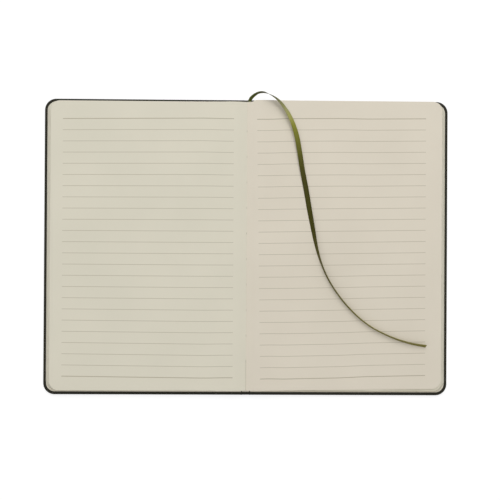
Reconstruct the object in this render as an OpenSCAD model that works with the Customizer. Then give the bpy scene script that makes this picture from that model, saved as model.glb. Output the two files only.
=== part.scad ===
// An open casebound notebook, lying flat with its head towards +Y.
// The origin is on the table, under the middle of the spine.

/* [Covers] */
// From the middle of the spine to the fore-edge of a cover
cover_w = 143; // [110:1:180]
// Height of the covers, head to tail
cover_h = 209; // [150:1:300]
// Radius of the outer corners of the covers
cover_corner_r = 8; // [4:0.5:15]
// Thickness of the stiff board in each cover
board_t = 1.6; // [1:0.1:3]
// Thickness of the covering material
skin_t = 0.4; // [0.2:0.05:0.7]
// Radius of the soft edge where the covering is pulled over a board
cover_rim_r = 0.7; // [0.3:0.05:1]
// How far the covering is turned over on the inside
turn_in_w = 15; // [8:1:22]

/* [Endpapers] */
// Thickness of the paper pasted inside each cover
pastedown_t = 0.2; // [0.1:0.05:0.4]
// Bare margin between the pasted paper and the edge of the cover
pastedown_margin = 2.2; // [1:0.1:6]
// Corner radius of the pasted paper
pastedown_corner_r = 6; // [2:0.5:12]

/* [Spine] */
// Width of the stiff strip in the spine
spine_strip_w = 5; // [3:0.5:6]
// Width of each hinge groove between the spine strip and a cover board
groove_w = 0.6; // [0.4:0.1:2]
// Thickness of the paper that lines the spine
lining_t = 0.2; // [0.1:0.05:0.4]
// How far the lining stays short of the head and the tail of the covers
lining_margin = 2.2; // [1:0.1:6]
// Clearance between the spine lining and the rounded backs of the pages
back_clearance = 0.3; // [0.2:0.05:0.6]

/* [Pages] */
// Height of the pages, head to tail
page_h = 203.5; // [145:0.5:293]
// How far the pages sit from the middle of the covers towards their head
pages_up = 0.8; // [0:0.1:1.5]
// Thickness of each half of the pages
stack_t = 4.5; // [3:0.25:10]
// From the middle of the gutter to the edge of the lowest leaf
low_leaf_w = 141; // [105:1:178]
// How much shorter the top leaf reaches, because the fore-edge slants
fore_slant = 3.1; // [0.5:0.1:5]
// Radius of the outer corners of the pages
page_corner_r = 6.5; // [3:0.5:12]
// Gap in the gutter between the two halves of the pages
gutter_gap = 0.6; // [0.5:0.05:1]
// Thickness of the upper leaves on the right, which lean a little towards the head
skewed_t = 0.8; // [0.3:0.1:1.5]
// How far their tail edge and ruling have moved towards the head at the fore-edge
skewed_by = 1.7; // [0.5:0.1:2.5]
// How far their head edge stands out past the leaves below
stand_out = 1.25; // [0.1:0.05:2]
// From the middle of the gutter to where that head edge begins
fold_clear = 4.8; // [4:0.1:10]

/* [Ruling] */
// Number of ruled lines on a page
line_count = 24; // [10:1:32]
// Height of a printed line
line_w = 0.35; // [0.2:0.05:0.6]
// Height of the first and the last line
end_line_w = 0.5; // [0.3:0.05:0.8]
// Thickness given to the print
ink_t = 0.05; // [0.03:0.01:0.1]
// From the head of the page down to the first line
head_margin = 11.9; // [8:0.1:30]
// From the last line down to the tail of the page
tail_margin = 9.25; // [5:0.05:30]
// From the middle of the gutter to where the lines begin
gutter_margin = 9; // [6:0.5:20]
// From the edge of the top leaf to where the lines end
fore_margin = 9.5; // [4:0.5:20]

/* [Sewing] */
// Thickness of the sewing thread
thread_d = 0.4; // [0.2:0.05:0.45]
// Number of stitches along the gutter
stitch_count = 5; // [3:1:7]
// Length of a stitch
stitch_len = 18; // [8:1:22]
// Distance from the middle of one stitch to the next
stitch_pitch = 36; // [24:1:40]
// How far the stitches lie below the top of the pages
stitch_depth = 1.2; // [0.5:0.1:2]

/* [Ribbon marker] */
// Width of the ribbon
ribbon_w = 3.5; // [2.5:0.25:7]
// Thickness of the ribbon
ribbon_t = 0.35; // [0.2:0.05:0.6]

/* [Hidden] */

// A small overlap, so that cuts run past the faces they open
cut = 1;
// Facets on the corners of covers and pages
corner_fn = 48;

// Heights above the table
board_top = skin_t + board_t;
covering_top = board_top + skin_t;
cover_top = covering_top + pastedown_t;
page_top = cover_top + stack_t;
lining_top = cover_top - back_clearance;
spine_covering_top = lining_top - lining_t;
strip_top = spine_covering_top - skin_t;

// The soft edge, no rounder than the covering allows over the corner of a board
rim_r = min(cover_rim_r, 3 * skin_t);

// The rounded back of each half of the pages, which is also the line its cover turns about
back_r = stack_t / 2;
pivot_x = back_r + gutter_gap / 2;
pivot_z = cover_top + back_r;

// Half the width of the spine, and the inner edge of the cover boards
spine_half_w = spine_strip_w / 2;
board_edge_x = spine_half_w + groove_w;
top_leaf_w = low_leaf_w - fore_slant;
skew = skewed_by / top_leaf_w;

// Distance from one ruled line to the next
line_pitch = (page_h - head_margin - tail_margin) / (line_count - 1);

cover_color = [0.17, 0.17, 0.13];
board_color = [0.55, 0.53, 0.49];
page_color = [0.87, 0.84, 0.76];
ink_color = [0.72, 0.69, 0.60];
thread_color = [0.90, 0.88, 0.80];
ribbon_color = [0.40, 0.42, 0.16];

// A flat half sheet from x = inner to x = outer, with its two outer corners rounded
module half_sheet_2d(inner, outer, height, radius) {
    translate([inner, -height / 2])
        square([outer - inner - radius, height]);
    translate([inner, radius - height / 2])
        square([outer - inner, height - 2 * radius]);
    for (side = [-1, 1])
        translate([outer - radius, side * (height / 2 - radius)])
            circle(r = radius, $fn = corner_fn);
}

// A half sheet with a thickness, from z = bottom to z = top
module half_sheet(inner, outer, height, radius, bottom, top) {
    translate([0, 0, bottom])
        linear_extrude(top - bottom)
            half_sheet_2d(inner, outer, height, radius);
}

// Section of a sheet with a soft outer edge, from its inside at 0 out to a reach
module soft_edge_2d(reach, thickness, edge_r) {
    square([reach - edge_r, thickness]);
    translate([0, edge_r])
        square([reach, thickness - 2 * edge_r]);
    for (level = [edge_r, thickness - edge_r])
        translate([reach - edge_r, level])
            circle(r = edge_r, $fn = 32);
}

// A half sheet with soft outer edges, from the table up to z = top
module soft_half_sheet(inner, outer, height, radius, top, edge_r) {
    straight_h = height - 2 * radius;
    straight_w = outer - inner - radius;
    translate([inner, -straight_h / 2, 0])
        cube([straight_w, straight_h, top]);
    translate([outer - radius, straight_h / 2, 0])
        rotate([90, 0, 0])
            linear_extrude(straight_h)
                soft_edge_2d(radius, top, edge_r);
    for (end = [0, 1])
        mirror([0, end, 0]) {
            translate([inner, straight_h / 2, 0])
                rotate([90, 0, 90])
                    linear_extrude(straight_w)
                        soft_edge_2d(radius, top, edge_r);
            translate([outer - radius, straight_h / 2, 0])
                rotate_extrude(angle = 90, $fn = 2 * corner_fn)
                    soft_edge_2d(radius, top, edge_r);
        }
}

// The stiff board of the cover on the +X side
module cover_board() {
    half_sheet(board_edge_x, cover_w - skin_t, cover_h - 2 * skin_t,
        cover_corner_r - skin_t, skin_t, board_top);
}

// The opening that the turned-in covering leaves on the inside of a cover
module turn_in_opening(bottom, top) {
    translate([board_edge_x - cut, turn_in_w - cover_h / 2, bottom])
        cube([cover_w - turn_in_w - board_edge_x + cut, cover_h - 2 * turn_in_w, top - bottom]);
}

// The covering wrapped round the board on the +X side
module cover_wrap() {
    difference() {
        soft_half_sheet(board_edge_x, cover_w, cover_h, cover_corner_r, covering_top, rim_r);
        half_sheet(board_edge_x - cut, cover_w - skin_t, cover_h - 2 * skin_t,
            cover_corner_r - skin_t, skin_t, board_top);
        turn_in_opening(board_top, covering_top + cut);
    }
}

// The pasted paper on the +X side, pressed down onto the board inside the turned-in edges
module cover_pastedown() {
    half_sheet(board_edge_x, cover_w - pastedown_margin, cover_h - 2 * pastedown_margin,
        pastedown_corner_r, covering_top, cover_top);
    translate([board_edge_x, turn_in_w - cover_h / 2, board_top])
        cube([cover_w - turn_in_w - board_edge_x, cover_h - 2 * turn_in_w, skin_t]);
}

// How far the leaf at a height reaches from the gutter, on a fore-edge that slants
function leaf_reach(z) = low_leaf_w - fore_slant * (z - cover_top) / stack_t;

// Outline of leaves that lean: each point of the tail half moves towards the head by a share
// of its distance, and the head edge stands out except close to the fold
module skewed_sheet_2d(width) {
    clear_w = fold_clear - pivot_x;
    intersection() {
        multmatrix([[1, 0, 0, 0], [skew, 1, 0, 0], [0, 0, 1, 0], [0, 0, 0, 1]])
            half_sheet_2d(0, width, page_h, page_corner_r);
        translate([0, -page_h])
            square([width, page_h]);
    }
    square([clear_w + cut, page_h / 2]);
    intersection() {
        half_sheet_2d(clear_w, width, page_h + 2 * stand_out, page_corner_r);
        square([width, page_h]);
    }
}

// Leaves that lie on the +X side between two heights, with a back that is rounded
// about the pivot
module leaves(bottom, top, skewed) {
    low_w = leaf_reach(bottom) - pivot_x;
    high_w = leaf_reach(top) - pivot_x;
    translate([pivot_x, pages_up, bottom])
        linear_extrude(top - bottom, scale = [high_w / low_w, 1]) {
            if (skewed) skewed_sheet_2d(low_w);
            else half_sheet_2d(0, low_w, page_h, page_corner_r);
        }
    intersection() {
        translate([pivot_x, pages_up, pivot_z])
            rotate([90, 0, 0])
                cylinder(h = page_h, r = back_r, center = true, $fn = 96);
        translate([0, -page_h, bottom])
            cube([pivot_x, 2 * page_h, top - bottom]);
    }
}

// Bars for the ruled lines on the +X side, on the top leaf
module ruled_lines(lean) {
    line_len = top_leaf_w - fore_margin - gutter_margin;
    first_y = pages_up + page_h / 2 - head_margin;
    for (i = [0 : line_count - 1]) {
        bar_w = i == 0 || i == line_count - 1 ? end_line_w : line_w;
        translate([pivot_x, first_y - i * line_pitch, page_top])
            rotate([0, 0, atan(lean)])
                translate([gutter_margin - pivot_x, -bar_w / 2, 0])
                    cube([line_len, bar_w, ink_t]);
    }
}

// One stitch: a length of thread along the fold with both ends going down to the lining
module stitch() {
    bend_r = thread_d;
    run_z = page_top - stitch_depth;
    leg_y = stitch_len / 2;
    translate([0, 0, run_z])
        rotate([90, 0, 0])
            cylinder(h = stitch_len - 2 * bend_r, d = thread_d, center = true, $fn = 16);
    for (side = [-1, 1]) {
        translate([0, side * (leg_y - bend_r), run_z - bend_r])
            rotate([90, 0, side > 0 ? 90 : -90])
                rotate_extrude(angle = 90, $fn = 24)
                    translate([bend_r, 0])
                        circle(d = thread_d, $fn = 16);
        translate([0, side * leg_y, lining_top])
            cylinder(h = run_z - bend_r - lining_top, d = thread_d, $fn = 16);
    }
}

// Route of the ribbon: x, y, height above the top of the pages, and its tilt in degrees,
// where 0 is flat with its face up
ribbon_route = [
    [1.8, 103, -2.3, -60],
    [1.9, 104, -2.1, -60],
    [3.6, 106.2, 0.4, -62],
    [7.2, 108.4, 3, -66],
    [11.2, 108.8, 4.6, -76],
    [14.8, 107.6, 5.2, -88],
    [18.6, 105.6, 5.4, -98],
    [22.2, 102.8, 5.2, -112],
    [25.4, 99, 4.8, -128],
    [29, 93.6, 4.4, -137],
    [32.4, 86.4, 3.6, -150],
    [35.2, 77, 2.7, -168],
    [37.2, 66, 1.9, -176],
    [39.2, 54, 1.2, -180],
    [41.8, 41, 0.8, -186],
    [44.2, 27, 0.9, -200],
    [46.8, 13, 1.4, -222],
    [49.2, 0.8, 1.8, -242],
    [52.4, -10.2, 2, -257],
    [57, -20.8, 2.1, -261],
    [62.8, -30.4, 2.1, -261],
    [69.8, -39.4, 2.1, -260],
    [78.2, -48, 2.1, -260],
    [87.2, -55, 2.1, -259],
    [96.4, -60, 2.1, -257],
    [106.4, -64.2, 2, -253],
    [116.6, -67.2, 1.9, -247],
    [127, -69, 1.8, -239]
];
// Rings of the ribbon's mesh between two points of its route
ribbon_steps = 2;
ribbon_last = len(ribbon_route) - 1;

// A smooth curve through the route, at step t between points i and i + 1
function route_at(i) = ribbon_route[max(0, min(ribbon_last, i))];
function smooth_at(i, t) =
    let (a = route_at(i - 1), b = route_at(i), c = route_at(i + 1), d = route_at(i + 2))
    (2 * b + (c - a) * t + (2 * a - 5 * b + 4 * c - d) * t * t
        + (3 * b - 3 * c + d - a) * t * t * t) / 2;
ribbon_line = [
    for (i = [0 : ribbon_last - 1]) for (k = [0 : ribbon_steps - 1]) smooth_at(i, k / ribbon_steps),
    route_at(ribbon_last)
];

function unit(v) = v / norm(v);
function place(p) = [p[0], p[1], page_top + p[2]];

// The eight corners of the ribbon's section, across its width and its thickness
ribbon_section = [
    for (s = [[-1, -0.5], [-0.9, -1], [0.9, -1], [1, -0.5], [1, 0.5], [0.9, 1], [-0.9, 1], [-1, 0.5]])
        [s[0] * ribbon_w / 2, s[1] * ribbon_t / 2]
];
function ribbon_ring(i) =
    let (
        last = len(ribbon_line) - 1,
        along = unit(place(ribbon_line[min(last, i + 1)]) - place(ribbon_line[max(0, i - 1)])),
        flat_side = unit(cross(along, [0, 0, 1])),
        up = cross(flat_side, along),
        tilt = ribbon_line[i][3],
        across = cos(tilt) * flat_side + sin(tilt) * up,
        normal = cross(across, along)
    )
    [for (s = ribbon_section) place(ribbon_line[i]) + s[0] * across + s[1] * normal];

module spine_strip() {
    color(board_color)
        translate([-spine_half_w, skin_t - cover_h / 2, skin_t])
            cube([spine_strip_w, cover_h - 2 * skin_t, strip_top - skin_t]);
}

module spine_covering() {
    color(cover_color)
        difference() {
            for (end = [0, 1])
                mirror([0, end, 0])
                    translate([-spine_half_w, 0, 0])
                        rotate([90, 0, 90])
                            linear_extrude(spine_strip_w)
                                soft_edge_2d(cover_h / 2, spine_covering_top, rim_r);
            translate([-spine_half_w - cut, skin_t - cover_h / 2, skin_t])
                cube([spine_strip_w + 2 * cut, cover_h - 2 * skin_t, strip_top - skin_t]);
            translate([-spine_half_w - cut, turn_in_w - cover_h / 2, skin_t])
                cube([spine_strip_w + 2 * cut, cover_h - 2 * turn_in_w, spine_covering_top]);
        }
}

module spine_lining() {
    lining_h = cover_h - 2 * lining_margin;
    color(page_color) {
        translate([-spine_half_w, -lining_h / 2, spine_covering_top])
            cube([spine_strip_w, lining_h, lining_t]);
        translate([-spine_half_w, turn_in_w - cover_h / 2, strip_top])
            cube([spine_strip_w, cover_h - 2 * turn_in_w, skin_t]);
    }
}

module sewing_thread() {
    color(thread_color)
        for (i = [0 : stitch_count - 1])
            translate([0, pages_up + (i - (stitch_count - 1) / 2) * stitch_pitch, 0])
                stitch();
}

module front_board() {
    color(board_color) mirror([1, 0, 0]) cover_board();
}

module front_covering() {
    color(cover_color) mirror([1, 0, 0]) cover_wrap();
}

module front_pastedown() {
    color(page_color) mirror([1, 0, 0]) cover_pastedown();
}

module left_pages() {
    color(page_color) mirror([1, 0, 0]) leaves(cover_top, page_top, false);
}

module left_ruling() {
    color(ink_color) mirror([1, 0, 0]) ruled_lines(0);
}

module back_board() {
    color(board_color) cover_board();
}

module back_covering() {
    color(cover_color) cover_wrap();
}

module back_pastedown() {
    color(page_color) cover_pastedown();
}

module right_pages() {
    color(page_color) {
        leaves(cover_top, page_top - skewed_t, false);
        leaves(page_top - skewed_t, page_top, true);
    }
}

module right_ruling() {
    color(ink_color) ruled_lines(skew);
}

module ribbon_marker() {
    rings = len(ribbon_line);
    sides = len(ribbon_section);
    points = [for (i = [0 : rings - 1]) each ribbon_ring(i)];
    walls = [
        for (i = [0 : rings - 2]) for (k = [0 : sides - 1])
            let (n = (k + 1) % sides, a = i * sides, b = a + sides)
            each [[a + k, a + n, b + n], [a + k, b + n, b + k]]
    ];
    start_cap = [[for (k = [sides - 1 : -1 : 0]) k]];
    end_cap = [[for (k = [0 : sides - 1]) (rings - 1) * sides + k]];
    color(ribbon_color)
        polyhedron(points, concat(walls, start_cap, end_cap));
}

spine_strip();
spine_covering();
spine_lining();
sewing_thread();
front_board();
front_covering();
front_pastedown();
left_pages();
left_ruling();
back_board();
back_covering();
back_pastedown();
right_pages();
right_ruling();
ribbon_marker();
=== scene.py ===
# An open casebound notebook, lying flat and seen from above.
# Everything is in metres. The table is z = 0 and the head of the book points to +Y.
import math

import bmesh
import bpy
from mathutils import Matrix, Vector


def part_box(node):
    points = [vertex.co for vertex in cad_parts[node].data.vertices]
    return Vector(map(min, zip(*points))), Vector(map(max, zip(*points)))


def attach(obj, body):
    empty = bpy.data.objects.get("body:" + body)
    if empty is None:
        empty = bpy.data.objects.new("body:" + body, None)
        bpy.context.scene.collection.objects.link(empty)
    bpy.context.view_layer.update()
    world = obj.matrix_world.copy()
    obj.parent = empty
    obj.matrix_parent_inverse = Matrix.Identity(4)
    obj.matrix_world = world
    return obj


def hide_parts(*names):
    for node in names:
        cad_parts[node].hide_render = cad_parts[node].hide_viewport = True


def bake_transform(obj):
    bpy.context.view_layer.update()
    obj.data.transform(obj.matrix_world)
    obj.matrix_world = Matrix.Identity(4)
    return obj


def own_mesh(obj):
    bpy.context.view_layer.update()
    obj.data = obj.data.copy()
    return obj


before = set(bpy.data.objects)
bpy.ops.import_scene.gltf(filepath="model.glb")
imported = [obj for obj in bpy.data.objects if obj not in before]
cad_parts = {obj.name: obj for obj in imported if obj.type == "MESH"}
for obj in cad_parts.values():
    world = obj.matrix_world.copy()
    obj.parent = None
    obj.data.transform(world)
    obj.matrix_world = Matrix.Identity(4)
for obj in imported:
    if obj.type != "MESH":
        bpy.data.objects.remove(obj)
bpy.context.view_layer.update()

MM = 0.001
TURN = 2 * math.pi
WHITE = (1.0, 1.0, 1.0, 1.0)

# Sizes that the frame gives. Each half of the pages has a round back, and its cover turns about
# the middle of that round.
pages_low, pages_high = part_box("left_pages")
page_top = pages_high.z
page_half_h = (pages_high.y - pages_low.y) / 2
page_middle_y = (pages_high.y + pages_low.y) / 2
low_leaf_w = -pages_low.x
back_r = (pages_high.z - pages_low.z) / 2
pivot_x = -pages_high.x + back_r
pivot_z = pages_low.z + back_r
cover_half_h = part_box("back_covering")[1].y
spine_half_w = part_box("spine_covering")[1].x
spine_strip_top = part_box("spine_strip")[1].z
board_edge_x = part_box("back_board")[0].x

# The camera's place and its turn in degrees, fitted to the four corners of the open covers
CAMERA_PLACE = (-11.4 * MM, -5.6 * MM, 700 * MM)
CAMERA_TURN = (0.305, -1.150, 0.327)
CAMERA_LENS = 70.83
CAMERA_SENSOR = 36

# How strongly the sky lights the book. Where it is seen, it is plain white.
SKY_LIGHT = 0.42

# The floor. Where it is seen, a share of it glows, which grows to all of it over the fade.
FLOOR_HALF_W = 2.5
FLOOR_DROP = 0.1 * MM
FLOOR_LIFT = 0.6
FLOOR_GLOW = 1.19
FLOOR_FADE = (0.3, 0.7)

# Route of the ribbon in millimetres: x, y, height above the pages, and its tilt in degrees
RIBBON_ROUTE = [
    (1.8, 103.0, -2.3, -57), (1.9, 104.0, -2.1, -57), (3.6, 106.2, 0.4, -61),
    (7.2, 108.4, 3.0, -75), (11.2, 108.8, 4.6, -83), (14.8, 107.6, 5.2, -99),
    (18.6, 105.6, 5.4, -111), (22.2, 102.8, 5.2, -122), (25.4, 99.0, 4.8, -132),
    (29.0, 93.6, 4.4, -141), (32.4, 86.4, 3.6, -150), (35.2, 77.0, 2.7, -168),
    (37.2, 66.0, 1.9, -176), (39.2, 54.0, 1.2, -180), (41.8, 41.0, 0.8, -186),
    (44.2, 27.0, 0.9, -200), (46.8, 13.0, 1.4, -222), (49.2, 0.8, 1.8, -242),
    (52.4, -10.2, 2.0, -257), (57.0, -20.8, 2.1, -261), (62.8, -30.4, 2.1, -261),
    (69.8, -39.4, 2.1, -260), (78.2, -48.0, 2.1, -260), (87.2, -55.0, 2.1, -259),
    (96.4, -60.0, 2.1, -257), (106.4, -64.2, 2.0, -253), (116.6, -67.2, 1.9, -247),
    (127.0, -69.0, 1.8, -239),
]
RIBBON_W = 3.5 * MM
RIBBON_T = 0.25 * MM
RIBBON_CROWN = 0.06 * MM
# Steps from one point of the route to the next, and across the ribbon
RIBBON_STEPS = 8
RIBBON_ROWS = 8
# Its weave: warp threads over half of its width, the pitch of the weft and how many threads of
# weft its slant spans, and where the bound edge starts and is full, as shares of half the width
WARP_COUNT = 17
WEFT_PITCH = 0.24 * MM
WEFT_SLANT = 2.4
BOUND_EDGE = (0.86, 0.9314)
# Distances along it at which its colour changes: painted light on its start, from the spine into
# the open, where it lies in shade; a painted highlight where it arcs over the head (start, middle,
# end), the painted sheen there, and towards the far end
FIRST_FADE = (16 * MM, 0.0)
HIGHLIGHT_STRETCH = (13 * MM, 40 * MM, 88 * MM)
SHEEN_AT = 35 * MM
SHEEN_REACH = 12 * MM
LAST_FADE = (120 * MM, 205 * MM)

# The upper leaves: their thickness, their swell beside the gutter, how they dip into the fold,
# and how far they stay clear of the stack under them
LEAF_T = 0.08 * MM
SWELL = 1.5 * MM
SWELL_REACH = 10 * MM
FOLD_DEPTH = 0.12 * MM
FOLD_REACH = 1.2 * MM
STACK_CLEAR = 0.02 * MM
# Their outline: how far the slant of the fore-edge takes them back, the round corners, and how
# far the tail edge on the right leans towards the head
FORE_SLANT = 3.1 * MM
PAGE_CORNER_R = 6.5 * MM
LEAN_BY = 1.7 * MM
# On the right they stand out at the head, except close to the fold
STAND_OUT = 1.25 * MM
FOLD_CLEAR = 3.2 * MM
# Their columns of points over the rounded back, the swell, the flat part and the corner
SHOULDER_STEPS = 10
SWELL_STEPS = 30
SWELL_STEP = 1.4 * MM
FLAT_STEPS = 10
CORNER_STEPS = 12
LEAF_ROWS = 24

# The middle fold is narrower than the gap between the closed halves, and the upper leaves reach
# in to it
FOLD_HALF_W = 0.2 * MM
LEAF_START = 0.21 * MM
FOLD_DIP = 0.04 * MM
FOLD_COLUMNS = 6

# Painted shade in the sewing holes along the middle fold, which fades from its core to its reach
HOLE_PITCH = 18 * MM
HOLE_COUNT = 10
HOLE_REACH = 1.1 * MM
HOLE_CORE = 0.2 * MM
# The fold is creased from the tail up to here, and painted shade darkens the crease
CREASE_TO = -78 * MM
CREASE_FADE = 3 * MM
CREASE_SHADE_SHARE = 0.35

# The ruling, in distances from the gutter and from the middle of the page's height. The rises
# are slopes, because the lines and the margin at the gutter aren't quite square to the book.
LINE_COUNT = 24
LINE_W = 0.35 * MM
END_LINE_W = 0.5 * MM
LINE_SOFT_EDGE = 0.06 * MM
# The first and last line are printed in full, and the lines between them at this strength
LINE_STRENGTH = 0.8
RULING = {
    -1: {"first": 91.18 * MM, "first_rise": -0.0111, "pitch": 7.983 * MM, "pitch_rise": -0.00095,
         "start": 9.3 * MM, "start_rise": 0.0, "end": 129.4 * MM},
    1: {"first": 90.05 * MM, "first_rise": 0.0130, "pitch": 7.946 * MM, "pitch_rise": -0.00045,
        "start": 8.5 * MM, "start_rise": -0.017, "end": 126.6 * MM},
}
# The lines are drawn together where the left page dips towards the gutter, and apart where the
# right page swells, by a share of their distance from the middle of the height
DIP_CURL = 0.0075
DIP_START_TO_FULL = (33 * MM, 9 * MM)
SWELL_CURL = -0.0055
SWELL_START_TO_FULL = (14 * MM, 29 * MM)
SWELL_END_TO_FULL = (88 * MM, 63 * MM)

# The covering: its thickness, how far it is turned in over the boards, and how far it bows in
# the groove, under the book and where it is turned in
SKIN_T = 0.4 * MM
TURNED_IN = 15 * MM
UNDER_BOW = 0.25 * MM
OVER_BOW = 0.1 * MM
GROOVE_COLUMNS = 14


def linear(red, green, blue):
    """A screen colour from 0 to 255, as the linear colour that a shader takes."""
    def one(value):
        share = value / 255
        return share / 12.92 if share <= 0.04045 else ((share + 0.055) / 1.055) ** 2.4
    return (one(red), one(green), one(blue), 1.0)


class Field:
    """A socket that varies over a surface. Arithmetic on it adds Math nodes to its finish."""

    def __init__(self, finish, socket):
        self.finish = finish
        self.socket = socket

    def math(self, operation, *values):
        return self.finish.node("ShaderNodeMath", {"operation": operation}, dict(enumerate(values)))

    def __add__(self, other):
        return self.math("ADD", self, other)

    def __radd__(self, other):
        return self.math("ADD", other, self)

    def __sub__(self, other):
        return self.math("SUBTRACT", self, other)

    def __rsub__(self, other):
        return self.math("SUBTRACT", other, self)

    def __mul__(self, other):
        return self.math("MULTIPLY", self, other)

    def __rmul__(self, other):
        return self.math("MULTIPLY", other, self)

    def __truediv__(self, other):
        return self.math("DIVIDE", self, other)

    def __rtruediv__(self, other):
        return self.math("DIVIDE", other, self)

    def __abs__(self):
        return self.math("ABSOLUTE", self)

    def rounded(self):
        return self.math("ROUND", self)

    def over(self, limit):
        return self.math("GREATER_THAN", self, limit)

    def under(self, limit):
        return self.math("LESS_THAN", self, limit)

    def lower_of(self, other):
        return self.math("MINIMUM", self, other)

    def wave(self):
        return self.math("SINE", self)

    def held(self):
        """The same value, held between 0 and 1."""
        return self.math("MAXIMUM", self, 0.0).lower_of(1.0)

    def ramp(self, start, full):
        """A share that goes evenly from 0 at the start to 1 where it is full, up or down."""
        return ((self - start) / (full - start)).held()

    def eased(self):
        """The same share, with a soft start and end."""
        return self * self * (3 - self * 2)

    def swing(self, amount):
        """How far a pattern from 0 to 1 is from its middle, times an amount."""
        return (self - 0.5) * amount


class Finish:
    """One material, made of nodes."""

    def __init__(self, name):
        self.material = bpy.data.materials.new(name)
        self.material.use_nodes = True
        self.tree = self.material.node_tree
        self.tree.nodes.clear()
        self.point = None

    @classmethod
    def of_tree(cls, tree):
        """The same node maker for a tree that isn't a material's, such as the world's."""
        made = cls.__new__(cls)
        made.tree = tree
        made.tree.nodes.clear()
        made.point = None
        return made

    def node(self, kind, settings=None, values=None, output=0):
        made = self.tree.nodes.new(kind)
        for name, setting in (settings or {}).items():
            setattr(made, name, setting)
        for key, value in (values or {}).items():
            if isinstance(value, Field):
                self.tree.links.new(value.socket, made.inputs[key])
            else:
                made.inputs[key].default_value = value
        return Field(self, made.outputs[output]) if made.outputs else None

    def place(self):
        """The point on the piece, in metres."""
        if self.point is None:
            self.point = self.node("ShaderNodeTexCoord", output="Object")
        return self.point

    def parts(self, vector):
        """The x, y and z of a vector."""
        split = self.node("ShaderNodeSeparateXYZ", values={0: vector})
        return [Field(self, socket) for socket in split.socket.node.outputs]

    def vector(self, x, y, z):
        return self.node("ShaderNodeCombineXYZ", values={0: x, 1: y, 2: z})

    def noise(self, scale=1.0, detail=2.0, roughness=0.5, at=None):
        return self.node("ShaderNodeTexNoise", values={
            "Vector": at or self.place(), "Scale": scale, "Detail": detail, "Roughness": roughness})

    def attribute(self, name):
        return self.node("ShaderNodeAttribute", {"attribute_name": name}, output="Fac")

    def seen(self):
        """1 where the camera, a mirror or glass sees the surface, and 0 where it gives light."""
        outs = self.node("ShaderNodeLightPath").socket.node.outputs
        camera, glossy, through = (
            Field(self, outs[f"Is {kind} Ray"]) for kind in ("Camera", "Glossy", "Transmission"))
        return (camera + glossy + through).held()

    def mixed(self, share, first, second):
        """One colour at share 0 and another at share 1."""
        settings = {"data_type": "RGBA", "clamp_factor": True}
        return self.node("ShaderNodeMix", settings, {0: share, 6: first, 7: second}, output=2)

    def bumped(self, height, depth):
        values = {"Height": height, "Distance": depth, "Strength": 1.0}
        return self.node("ShaderNodeBump", values=values)

    def surface(self, **values):
        """Ends the material in a plain surface shader, whose sockets the keywords name."""
        shader = self.node("ShaderNodeBsdfPrincipled", values={
            key.replace("_", " ").title().replace("Ior", "IOR"): value
            for key, value in values.items()})
        self.node("ShaderNodeOutputMaterial", values={"Surface": shader})
        return self.material


# Finishes. Colours first: by side of the gutter, as single tints, or as the two ends of a mix.

CREAM = {-1: linear(215, 210, 193), 0: linear(215, 208, 191), 1: linear(217, 209, 193)}
CREAM_SHADE = {-1: linear(209, 205, 188), 0: linear(209, 202, 184), 1: linear(211, 203, 187)}
INK = linear(171, 163, 144)
# Painted shade for the sewing holes and the crease of the middle fold
FOLD_SHADE = linear(146, 136, 118)
# The paper of the cut edges, and the painted shade in the gaps between the leaves
LEAF_EDGE_AND_GAP_SHADE = (linear(224, 219, 201), linear(198, 192, 172))
OLIVE_BLACK = (linear(20, 19, 10), linear(34, 32, 20))
BOARD_GREY = (linear(150, 146, 138), linear(112, 108, 100))
LINEN = (linear(226, 220, 200), linear(196, 188, 164))
# The ribbon: its painted highlight and its own dark olive, the painted sheen, and the colour of its
# far end
SATIN = (linear(148, 148, 62), linear(50, 47, 3))
SATIN_SHEEN = linear(198, 192, 158)
SATIN_LAST = linear(146, 138, 72)
# Painted light for the start of the ribbon, which lies in shade
SATIN_FIRST = linear(106, 117, 54)
FLOOR_GREY = linear(244, 244, 244)

PAPER_ROUGHNESS = 0.86
PAPER_SPECULAR = 0.25


def line_curl(side, out):
    """The share by which the lines are drawn together, or apart where it is below 0."""
    if side < 0:
        return out.ramp(*DIP_START_TO_FULL).eased() * DIP_CURL
    rise = out.ramp(*SWELL_START_TO_FULL).eased()
    fall = out.ramp(*SWELL_END_TO_FULL).eased()
    return rise * fall * SWELL_CURL


def ruled_share(finish, side):
    """How much of a point is printed line, on the page on one side of the gutter."""
    rule = RULING[side]
    x, y, z = finish.parts(finish.place())
    out = x * side
    pitch = rule["pitch"] + out * rule["pitch_rise"]
    first = rule["first"] + out * rule["first_rise"]
    # Lines are counted from 0 at the head
    count = (first - y * (line_curl(side, out) + 1)) / pitch
    nearest = count.rounded()
    off_line = abs(count - nearest) * pitch
    on_page = nearest.over(-0.5) * nearest.under(LINE_COUNT - 0.5)
    between = (out - y * rule["start_rise"]).over(rule["start"]) * out.under(rule["end"])
    is_end = 1 - nearest.over(0.5) * nearest.under(LINE_COUNT - 1.5)
    half_w = LINE_W / 2 + is_end * ((END_LINE_W - LINE_W) / 2)
    strength = is_end * (1 - LINE_STRENGTH) + LINE_STRENGTH
    return ((half_w - off_line) / LINE_SOFT_EDGE + 0.5).held() * on_page * between * strength


def paper(name, side=0):
    """Cream writing paper with a faint felt side, ruled if a side of the gutter is given."""
    finish = Finish(name)
    cloud = finish.noise(scale=22, detail=3.0)
    fibre = finish.noise(scale=1400, detail=4.0, roughness=0.7)
    shade = (cloud - 0.35) * 1.6 + fibre.swing(0.5)
    colour = finish.mixed(shade, CREAM[side], CREAM_SHADE[side])
    if side:
        colour = finish.mixed(ruled_share(finish, side), colour, INK)
    return finish.surface(
        base_color=colour, roughness=PAPER_ROUGHNESS + fibre.swing(0.1),
        specular_ior_level=PAPER_SPECULAR, normal=finish.bumped(fibre, depth=0.012 * MM))


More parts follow.
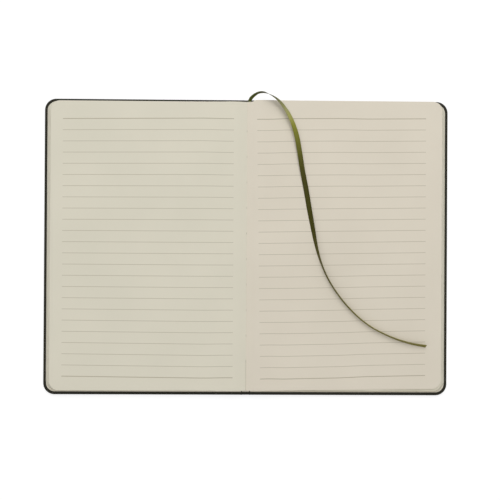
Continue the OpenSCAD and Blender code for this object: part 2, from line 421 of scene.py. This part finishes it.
def folded_paper(name):
    """The middle fold: the same paper, with painted shade in the sewing holes and in its crease at
    the tail.
    """
    finish = Finish(name)
    x, y, z = finish.parts(finish.place())
    count = (y - page_middle_y) / HOLE_PITCH + 0.5
    nearest = count.rounded()
    off_hole = abs(count - nearest) * HOLE_PITCH
    # Painted shade in the sewing holes, unevenly strong
    hole_shade = off_hole.ramp(HOLE_REACH, HOLE_CORE) * abs(nearest - 0.5).under(HOLE_COUNT / 2)
    hole_shade_unevenness = finish.noise(scale=160) * 1.1 - 0.15
    # Painted shade in the crease at the tail
    crease = y.ramp(CREASE_TO, CREASE_TO - CREASE_FADE) * CREASE_SHADE_SHARE
    return finish.surface(
        base_color=finish.mixed(hole_shade * hole_shade_unevenness + crease, CREAM[0], FOLD_SHADE),
        roughness=PAPER_ROUGHNESS, specular_ior_level=PAPER_SPECULAR)


def leaf_edges(name, attribute=None):
    """The cut edges of a stack of leaves: fine uneven lines of painted shade in the gaps between
    them, by height or by an attribute.
    """
    finish = Finish(name)
    x, y, z = finish.parts(finish.place())
    level = finish.attribute(attribute) * 14 if attribute else z * 7000
    lines = finish.noise(detail=3.0, roughness=0.6, at=finish.vector(x * 30, y * 30, level))
    coarse = finish.noise(detail=1.0, at=finish.vector(x * 12, y * 12, level * 0.22))
    # The gaps between the leaves are sunk by the bump and darkened by painted shade
    gap_depth_and_shade = (lines.swing(2.4) + coarse.swing(1.2) + 0.32).held()
    return finish.surface(
        base_color=finish.mixed(gap_depth_and_shade, *LEAF_EDGE_AND_GAP_SHADE), roughness=0.9, specular_ior_level=0.2,
        normal=finish.bumped(gap_depth_and_shade, depth=-0.05 * MM))


def leatherette(name):
    """Near-black olive book covering with a fine pebbled grain."""
    finish = Finish(name)
    pebble = finish.node(
        "ShaderNodeTexVoronoi", {"feature": "SMOOTH_F1"},
        {"Vector": finish.place(), "Scale": 1500, "Smoothness": 0.6, "Randomness": 1.0}, "Distance")
    crease = finish.noise(scale=700)
    fine = finish.noise(scale=5200)
    patch = finish.noise(scale=40, detail=3.0)
    height = pebble * 0.9 + crease * 0.7 + fine * 0.2
    colour = finish.mixed(height * 0.9 - 0.2 + patch.swing(0.5), *OLIVE_BLACK)
    return finish.surface(
        base_color=colour, roughness=0.5 + patch.swing(0.16) - (pebble - 0.4) * 0.12,
        specular_ior_level=0.14, normal=finish.bumped(height, depth=0.05 * MM))


def grey_board(name):
    """Pressed grey board with flecks of fibre."""
    finish = Finish(name)
    fleck = finish.noise(scale=900, detail=4.0, roughness=0.75)
    layer = finish.noise(scale=60)
    colour = finish.mixed(fleck * 1.6 - 0.4 + layer.swing(0.4), *BOARD_GREY)
    return finish.surface(
        base_color=colour, roughness=0.95, normal=finish.bumped(fleck, depth=0.05 * MM))


def linen_thread(name):
    """Two-ply linen thread: fine turns along the length."""
    finish = Finish(name)
    x, y, z = finish.parts(finish.place())
    turns = (y * 9000 + z * 9000 + x * 5000).wave()
    fuzz = finish.noise(scale=6000)
    colour = finish.mixed(turns * 0.35 + 0.5 + fuzz.swing(0.4), *LINEN)
    return finish.surface(
        base_color=colour, roughness=0.75, normal=finish.bumped(turns, depth=0.03 * MM))


def satin_ribbon(name):
    """Olive satin ribbon, woven, with bound edges, a painted highlight and painted sheen where it
    arcs over the head, and painted light on its shaded start.
    """
    finish = Finish(name)
    along = finish.attribute("along")
    across = finish.attribute("across")
    warp = (across * TURN * WARP_COUNT).wave()
    weft = (along * TURN / WEFT_PITCH + across * TURN * WEFT_SLANT).wave()
    bound = abs(across).ramp(*BOUND_EDGE)
    slub = finish.noise(detail=3.0, roughness=0.6, at=finish.vector(along * 160, across * 7, 0.0))
    # A painted highlight: paler where the ribbon arcs over the head
    drawn_start, drawn_middle, drawn_end = HIGHLIGHT_STRETCH
    drawn = along.ramp(drawn_start, drawn_middle).lower_of(along.ramp(drawn_end, drawn_middle))
    tone = 0.95 + slub.swing(0.25) + warp * 0.05 + weft * 0.04 - drawn * drawn * 0.95
    colour = finish.mixed(tone, *SATIN)
    tints = (
        (abs(along - SHEEN_AT).ramp(SHEEN_REACH, 0.0) * 0.3, SATIN_SHEEN),
        (along.ramp(*LAST_FADE) * 0.7, SATIN_LAST),
        # Painted light on the start of the ribbon, which lies in shade
        (along.ramp(*FIRST_FADE) * 0.85, SATIN_FIRST),
    )
    for share, tint in tints:
        colour = finish.mixed(share, colour, tint)
    height = warp * 0.4 + weft * 0.35 + bound * 2.2
    return finish.surface(
        base_color=colour, roughness=0.42 + slub.swing(0.16) + bound * 0.2,
        specular_ior_level=0.1, normal=finish.bumped(height, depth=0.02 * MM))


def pale_floor(name):
    """A pale floor that takes shadows near the book, and is lifted to white where it is seen."""
    finish = Finish(name)
    distance = finish.node(
        "ShaderNodeVectorMath", {"operation": "LENGTH"}, {0: finish.place()}, "Value")
    lift = finish.seen() * (FLOOR_LIFT + distance.ramp(*FLOOR_FADE) * (1 - FLOOR_LIFT))
    matt = finish.node("ShaderNodeBsdfDiffuse", values={"Color": FLOOR_GREY})
    glow = finish.node("ShaderNodeEmission", values={"Color": WHITE, "Strength": FLOOR_GLOW})
    both = finish.node("ShaderNodeMixShader", values={0: lift, 1: matt, 2: glow})
    finish.node("ShaderNodeOutputMaterial", values={"Surface": both})
    return finish.material


# Making pieces

def new_object(name, mesh_maker, *materials):
    """An object at the origin from a bmesh, with its materials."""
    mesh = bpy.data.meshes.new(name)
    mesh_maker.to_mesh(mesh)
    mesh_maker.free()
    piece = bpy.data.objects.new(name, mesh)
    bpy.context.scene.collection.objects.link(piece)
    for material in materials:
        mesh.materials.append(material)
    return piece


def shade_by_angle(maker, degrees):
    """Smooth faces, with every edge sharper than the angle left crisp."""
    limit = math.radians(degrees)
    for face in maker.faces:
        face.smooth = True
    for edge in maker.edges:
        edge.smooth = len(edge.link_faces) == 2 and edge.calc_face_angle(0) < limit


def grid_by_rule(columns, rows, rule):
    """A grid whose points are put in place by rule(column, row), with both counted from 0."""
    maker = bmesh.new()
    bmesh.ops.create_grid(maker, x_segments=columns, y_segments=rows, size=1)
    column_of = maker.verts.layers.int.new("column")
    for vert in maker.verts:
        column = round((vert.co.x + 1) / 2 * columns)
        row = round((vert.co.y + 1) / 2 * rows)
        vert[column_of] = column
        vert.co = rule(column, row)
    return maker


def thicken(maker, move):
    """Copies an open sheet, joins the copy to it by walls, and moves the copy's points."""
    walls = bmesh.ops.extrude_face_region(maker, geom=list(maker.faces), use_keep_orig=True)
    for item in walls["geom"]:
        if isinstance(item, bmesh.types.BMVert):
            move(item)
    bmesh.ops.recalc_face_normals(maker, faces=maker.faces)


def stand_for(piece, body, slot, *nodes):
    """The piece rides on a body and hides the nodes it stands for. The slot is not used."""
    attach(piece, body)
    if nodes:
        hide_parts(*nodes)


# Camera, light and stage

def set_camera():
    data = bpy.data.cameras.new("camera")
    data.lens = CAMERA_LENS
    data.sensor_width = CAMERA_SENSOR
    data.clip_start = 0.01
    data.clip_end = 20
    camera = bpy.data.objects.new("camera", data)
    bpy.context.scene.collection.objects.link(camera)
    camera.location = CAMERA_PLACE
    camera.rotation_euler = [math.radians(turn) for turn in CAMERA_TURN]
    bpy.context.scene.camera = camera


def soft_lamp(name, place, size, power):
    """A square lamp that points at the middle of the book."""
    data = bpy.data.lights.new(name, "AREA")
    data.shape = "SQUARE"
    data.size = size
    data.energy = power
    lamp = bpy.data.objects.new(name, data)
    bpy.context.scene.collection.objects.link(lamp)
    lamp.location = place
    lamp.rotation_euler = (-Vector(place)).to_track_quat("-Z", "Y").to_euler()


def set_light():
    world = bpy.data.worlds.new("studio")
    bpy.context.scene.world = world
    world.use_nodes = True
    sky = Finish.of_tree(world.node_tree)
    strength = SKY_LIGHT + sky.seen() * (1 - SKY_LIGHT)
    glow = sky.node("ShaderNodeBackground", values={"Color": WHITE, "Strength": strength})
    sky.node("ShaderNodeOutputWorld", values={"Surface": glow})
    soft_lamp("window", place=(0.05, 1.0, 1.25), size=1.0, power=11.5)
    soft_lamp("overhead", place=(0.1, 0.1, 1.6), size=1.3, power=6)
    soft_lamp("fill", place=(-1.1, -0.4, 1.6), size=1.4, power=2)
    bpy.context.scene.view_settings.view_transform = "Standard"


def set_floor():
    maker = bmesh.new()
    bmesh.ops.create_grid(maker, x_segments=1, y_segments=1, size=FLOOR_HALF_W)
    bmesh.ops.translate(maker, verts=maker.verts, vec=(0, 0, -FLOOR_DROP))
    floor = new_object("floor", maker, pale_floor("pale floor"))


# The ribbon

def smooth_at(points, step):
    """A point on the smooth curve through all the points, at a step counted in points."""
    last = len(points) - 1
    start = min(int(step), last - 1)
    share = step - start
    a, b, c, d = (points[max(0, min(last, start + k))] for k in (-1, 0, 1, 2))
    return tuple(
        (2 * q + (r - p) * share + (2 * p - 5 * q + 4 * r - s) * share ** 2
         + (3 * q - 3 * r + s - p) * share ** 3) / 2
        for p, q, r, s in zip(a, b, c, d))


def ribbon_line():
    """Centre points, directions across the ribbon and out of its face, and distances along it."""
    steps = (len(RIBBON_ROUTE) - 1) * RIBBON_STEPS
    stations = [smooth_at(RIBBON_ROUTE, i / RIBBON_STEPS) for i in range(steps + 1)]
    points = [Vector((x * MM, y * MM, page_top + lift * MM)) for x, y, lift, tilt in stations]
    across, faces = [], []
    for i, station in enumerate(stations):
        along = (points[min(steps, i + 1)] - points[max(0, i - 1)]).normalized()
        flat = along.cross(Vector((0, 0, 1))).normalized()
        up = flat.cross(along)
        tilt = math.radians(station[3])
        across.append(flat * math.cos(tilt) + up * math.sin(tilt))
        faces.append(across[-1].cross(along).normalized())
    travelled = [0.0]
    for here, there in zip(points, points[1:]):
        travelled.append(travelled[-1] + (there - here).length)
    return points, across, faces, travelled


def make_ribbon():
    points, across, faces, travelled = ribbon_line()

    def on_ribbon(column, row):
        side = row / RIBBON_ROWS * 2 - 1
        return (points[column] + across[column] * side * RIBBON_W / 2
                + faces[column] * (RIBBON_CROWN * (1 - side * side) + RIBBON_T / 2))

    def to_back(vert):
        vert.co -= faces[vert[column_of]] * RIBBON_T

    maker = grid_by_rule(len(points) - 1, RIBBON_ROWS, on_ribbon)
    along_layer = maker.verts.layers.float.new("along")
    across_layer = maker.verts.layers.float.new("across")
    column_of = maker.verts.layers.int["column"]
    for vert in maker.verts:
        column = vert[column_of]
        vert[along_layer] = travelled[column]
        vert[across_layer] = (vert.co - points[column]).dot(across[column]) / (RIBBON_W / 2)
    thicken(maker, to_back)
    shade_by_angle(maker, 50)
    ribbon = new_object("ribbon", maker, satin_ribbon("olive satin"))
    stand_for(ribbon, "back_cover", "ribbon", "ribbon_marker")
    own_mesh(ribbon)


# The leaves

def leaf_height(out):
    """Height of the top leaf at a distance from the middle of the gutter."""
    step = out / SWELL_REACH
    into_fold = max(0.0, 1 - out / FOLD_REACH)
    swell = SWELL * (step * math.exp(1 - step)) ** 2
    return page_top + LEAF_T + swell - FOLD_DEPTH * into_fold ** 2


def under_height(out):
    """Height of the flat stack and its rounded back, under the upper leaves."""
    if out < pivot_x:
        rise = max(0.0, back_r ** 2 - (pivot_x - out) ** 2)
        return pivot_z + math.sqrt(rise) + STACK_CLEAR
    return page_top + STACK_CLEAR


def quarter_turn(step, steps):
    """The angle that a step is at, in a quarter turn of equal steps."""
    return step / steps * math.pi / 2


def leaf_stations(reach):
    """Distances from the gutter at which the upper leaves have a column of points."""
    shoulder = [
        LEAF_START + (pivot_x - LEAF_START) * (1 - math.cos(quarter_turn(i, SHOULDER_STEPS)))
        for i in range(SHOULDER_STEPS)]
    swell = [pivot_x + i * SWELL_STEP for i in range(SWELL_STEPS)]
    corner_start = reach - PAGE_CORNER_R
    flat = [
        swell[-1] + (corner_start - swell[-1]) * i / FLAT_STEPS for i in range(1, FLAT_STEPS)]
    corner = [
        corner_start + PAGE_CORNER_R * math.sin(quarter_turn(i, CORNER_STEPS))
        for i in range(CORNER_STEPS + 1)]
    return shoulder + swell + flat + corner


def half_height(out, reach):
    """Half the height of a leaf at a distance from the gutter, with its round outer corner."""
    into_corner = out - (reach - PAGE_CORNER_R)
    if into_corner <= 0:
        return page_half_h
    drop = math.sqrt(max(0.0, PAGE_CORNER_R ** 2 - into_corner ** 2))
    return page_half_h - PAGE_CORNER_R + drop


def smooth_share(value, start, end):
    """A number's share of the way from start to end, with a soft start and end."""
    share = max(0.0, min(1.0, (value - start) / (end - start)))
    return share * share * (3 - 2 * share)


def make_upper_leaves(name, side, body, lean, stand_out, page, edges, node):
    """The leaves on top of one half. The tail leans by a slope, and the head stands out."""
    reach = low_leaf_w - FORE_SLANT
    stations = leaf_stations(reach)

    def on_leaf(column, row):
        out = stations[column]
        tail = -half_height(out, reach) + lean * max(0.0, out - pivot_x)
        head = half_height(out, reach) + stand_out * smooth_share(out, FOLD_CLEAR, 2 * FOLD_CLEAR)
        y = page_middle_y + tail + (head - tail) * row / LEAF_ROWS
        return Vector((side * out, y, leaf_height(out)))

    def to_stack(vert):
        vert.co.z = under_height(abs(vert.co.x))
        vert[level] = 0.0

    maker = grid_by_rule(len(stations) - 1, LEAF_ROWS, on_leaf)
    level = maker.verts.layers.float.new("level")
    for vert in maker.verts:
        vert[level] = 1.0
    if side < 0:
        # The left sheet is mirrored, which turned it face down
        bmesh.ops.reverse_faces(maker, faces=maker.faces)
    thicken(maker, to_stack)
    for face in maker.faces:
        face.material_index = 0 if face.normal.z > 0.3 else 1
    shade_by_angle(maker, 40)
    leaves = new_object(name, maker, page, edges)
    stand_for(leaves, body, "pages", node)
    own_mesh(leaves)


def make_middle_fold(page):
    """The fold of the middle leaf, which the stitches lie in."""
    edge_z = leaf_height(LEAF_START)

    def on_fold(column, row):
        share = column / FOLD_COLUMNS * 2 - 1
        y = page_middle_y + (row * 2 - 1) * page_half_h
        return Vector((share * FOLD_HALF_W, y, edge_z - FOLD_DIP * (1 - abs(share))))

    def to_underside(vert):
        vert.co.z -= LEAF_T

    maker = grid_by_rule(FOLD_COLUMNS, 1, on_fold)
    thicken(maker, to_underside)
    fold = new_object("middle_fold", maker, page)
    stand_for(fold, "spine", "pages")


# The covers

def make_groove(name, side, covering, bottom, bow, y_from, y_to):
    """The covering between the spine and a board, bowed in the groove."""
    def on_groove(column, row):
        share = column / GROOVE_COLUMNS
        x = side * (spine_half_w + (board_edge_x - spine_half_w) * share)
        z = bottom + bow * math.sin(share * math.pi)
        return Vector((x, y_from + (y_to - y_from) * row, z))

    def to_top(vert):
        vert.co.z += SKIN_T

    maker = grid_by_rule(GROOVE_COLUMNS, 1, on_groove)
    thicken(maker, to_top)
    shade_by_angle(maker, 40)
    groove = new_object(name, maker, covering)
    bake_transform(groove)


def dress(material, *nodes):
    """Gives the nodes that stay as the frame made them a finish of their own."""
    for node in nodes:
        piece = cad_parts[node]
        for place in piece.material_slots:
            place.material = material
        if not piece.material_slots:
            piece.data.materials.append(material)


def make_book():
    covering = leatherette("olive leatherette")
    for side, body in ((-1, "front_cover"), (1, "back_cover")):
        word = body.split("_")[0]
        make_groove(
            word + "_groove", side, covering, 0.0, UNDER_BOW, -cover_half_h, cover_half_h)
        for end, place in ((-1, "tail"), (1, "head")):
            make_groove(
                f"{word}_{place}_turn_in", side, covering, spine_strip_top, OVER_BOW,
                end * cover_half_h, end * (cover_half_h - TURNED_IN))
    fanned = leaf_edges("upper leaf edges", "level")
    make_upper_leaves(
        "left_leaves", -1, "front_cover", 0.0, 0.0, paper("left ruled paper", -1), fanned,
        "left_ruling")
    make_upper_leaves(
        "right_leaves", 1, "back_cover", LEAN_BY / (low_leaf_w - FORE_SLANT), STAND_OUT,
        paper("right ruled paper", 1), fanned, "right_ruling")
    make_middle_fold(folded_paper("folded cream paper"))
    dress(covering, "front_covering", "back_covering", "spine_covering")
    dress(leaf_edges("leaf edges"), "left_pages", "right_pages")
    dress(paper("plain cream paper"), "front_pastedown", "back_pastedown", "spine_lining")
    dress(grey_board("grey board"), "front_board", "back_board", "spine_strip")
    dress(linen_thread("linen thread"), "sewing_thread")


set_camera()
make_ribbon()
make_book()
set_light()
set_floor()
